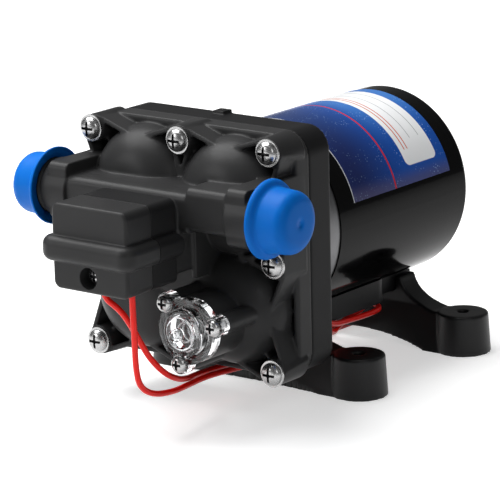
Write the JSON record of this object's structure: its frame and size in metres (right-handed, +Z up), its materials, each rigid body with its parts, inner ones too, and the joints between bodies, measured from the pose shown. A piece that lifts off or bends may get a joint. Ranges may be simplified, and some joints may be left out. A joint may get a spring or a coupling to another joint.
{
  "type": "caravan water pump",
  "caption": "Twelve-volt diaphragm pressure pump with a four-dome head, side ports with dust caps, pressure switch, motor and two rubber mounting bars.",
  "frame": {"origin": "centre of the four base holes, at the floor", "axes": "+Z up; +Y back along the motor; +X to the right of the head seen from the front"},
  "size_m": [0.1272, 0.2209, 0.1087],
  "materials": {
    "head_plastic": "satin dark grey glass-filled plastic",
    "housing_plastic": "satin near-black plastic",
    "switch_plastic": "matte black plastic",
    "steel_screw": "bright zinc-plated steel",
    "clear_plastic": "clear polycarbonate",
    "cap_plastic": "soft blue plastic",
    "motor_paint": "gloss black paint",
    "bell_metal": "cast, satin",
    "label_film": "printed film",
    "rubber": "black moulded rubber",
    "wire_red": "glossy red PVC",
    "copper": "bare copper",
    "magnet_ferrite": "dark sintered ferrite",
    "steel_part": "machined steel",
    "inner_plastic": "white moulded plastic",
    "membrane": "black elastomer",
    "carbon": "pressed carbon"
  },
  "bodies": {
    "root": {"pump_head": "head_plastic", "head_screws": "steel_screw", "valve_plate": "inner_plastic", "inlet_valves": "membrane", "outlet_valve": "membrane", "diaphragm": "membrane", "drive_housing": "housing_plastic", "front_end_bell": "bell_metal", "motor_can": "motor_paint", "rear_end_cap": "motor_paint", "motor_label": "label_film", "magnets": "magnet_ferrite", "brushes": "carbon", "brush_springs": "steel_part", "front_bearing_outer": "steel_part", "rear_bearing_outer": "steel_part", "through_bolts": "steel_screw", "lead_grommet": "rubber", "valve_cover": "clear_plastic", "valve_spring": "steel_part", "valve_o_ring": "membrane", "valve_screws": "steel_screw", "switch_base": "switch_plastic", "switch_cover": "switch_plastic", "switch_diaphragm": "membrane", "switch_spring": "steel_part", "microswitch": "switch_plastic", "switch_terminals": "copper", "front_mount_bar": "rubber", "rear_mount_bar": "rubber", "motor_saddle": "housing_plastic", "saddle_screws": "steel_screw", "switch_lead": "wire_red", "supply_lead": "wire_red", "supply_lead_coil": "wire_red", "supply_lead_strands": "copper"},
    "rotor": {"cam_hub": "steel_part", "wobble_bearing_inner": "steel_part", "motor_shaft": "steel_part", "armature_core": "steel_part", "armature_windings": "copper", "commutator": "copper", "front_bearing_inner": "steel_part", "rear_bearing_inner": "steel_part"},
    "wobble": {"wobble_plate": "inner_plastic", "wobble_bearing_outer": "steel_part", "piston_plates": "inner_plastic", "piston_screws": "steel_screw"},
    "poppet": {"valve_poppet": "inner_plastic"},
    "plunger": {"switch_plunger": "inner_plastic"},
    "adjuster": {"adjusting_screw": "steel_screw"},
    "inlet_cap": {"inlet_cap": "cap_plastic"},
    "outlet_cap": {"outlet_cap": "cap_plastic"}
  },
  "joints": [
    {"name": "rotor_spin", "type": "hinge", "parent": "root", "child": "rotor", "pos_m": [0, -0.064, 0.0623], "axis": [0, 1, 0], "continuous": true, "deforming": ["diaphragm"]},
    {"name": "wobble_turn", "type": "hinge", "parent": "rotor", "child": "wobble", "pos_m": [0, -0.064, 0.0623], "axis": [0, 0.9976, 0.0698], "continuous": true},
    {"name": "valve_lift", "type": "slide", "parent": "root", "child": "poppet", "axis": [0, -1, 0], "range_m": [0, 0.003], "stiffness_N_per_m": 120, "springref_m": -0.003, "deforming": ["valve_spring"]},
    {"name": "switch_press", "type": "slide", "parent": "root", "child": "plunger", "axis": [0, -1, 0], "range_m": [0, 0.0009], "stiffness_N_per_m": 400, "springref_m": -0.001, "deforming": ["switch_spring"]},
    {"name": "pressure_adjust", "type": "hinge", "parent": "root", "child": "adjuster", "pos_m": [-0.0009, -0.1328, 0.0617], "axis": [0, -1, 0], "range_deg": [-180, 180]},
    {"name": "inlet_cap_pull", "type": "slide", "parent": "root", "child": "inlet_cap", "axis": [-1, 0, 0], "range_m": [0, 0.03]},
    {"name": "outlet_cap_pull", "type": "slide", "parent": "root", "child": "outlet_cap", "axis": [1, 0, 0], "range_m": [0, 0.03]}
  ],
  "couplings": [
    {"joint": "wobble_turn", "follows": "rotor_spin", "ratio": -1}
  ]
}
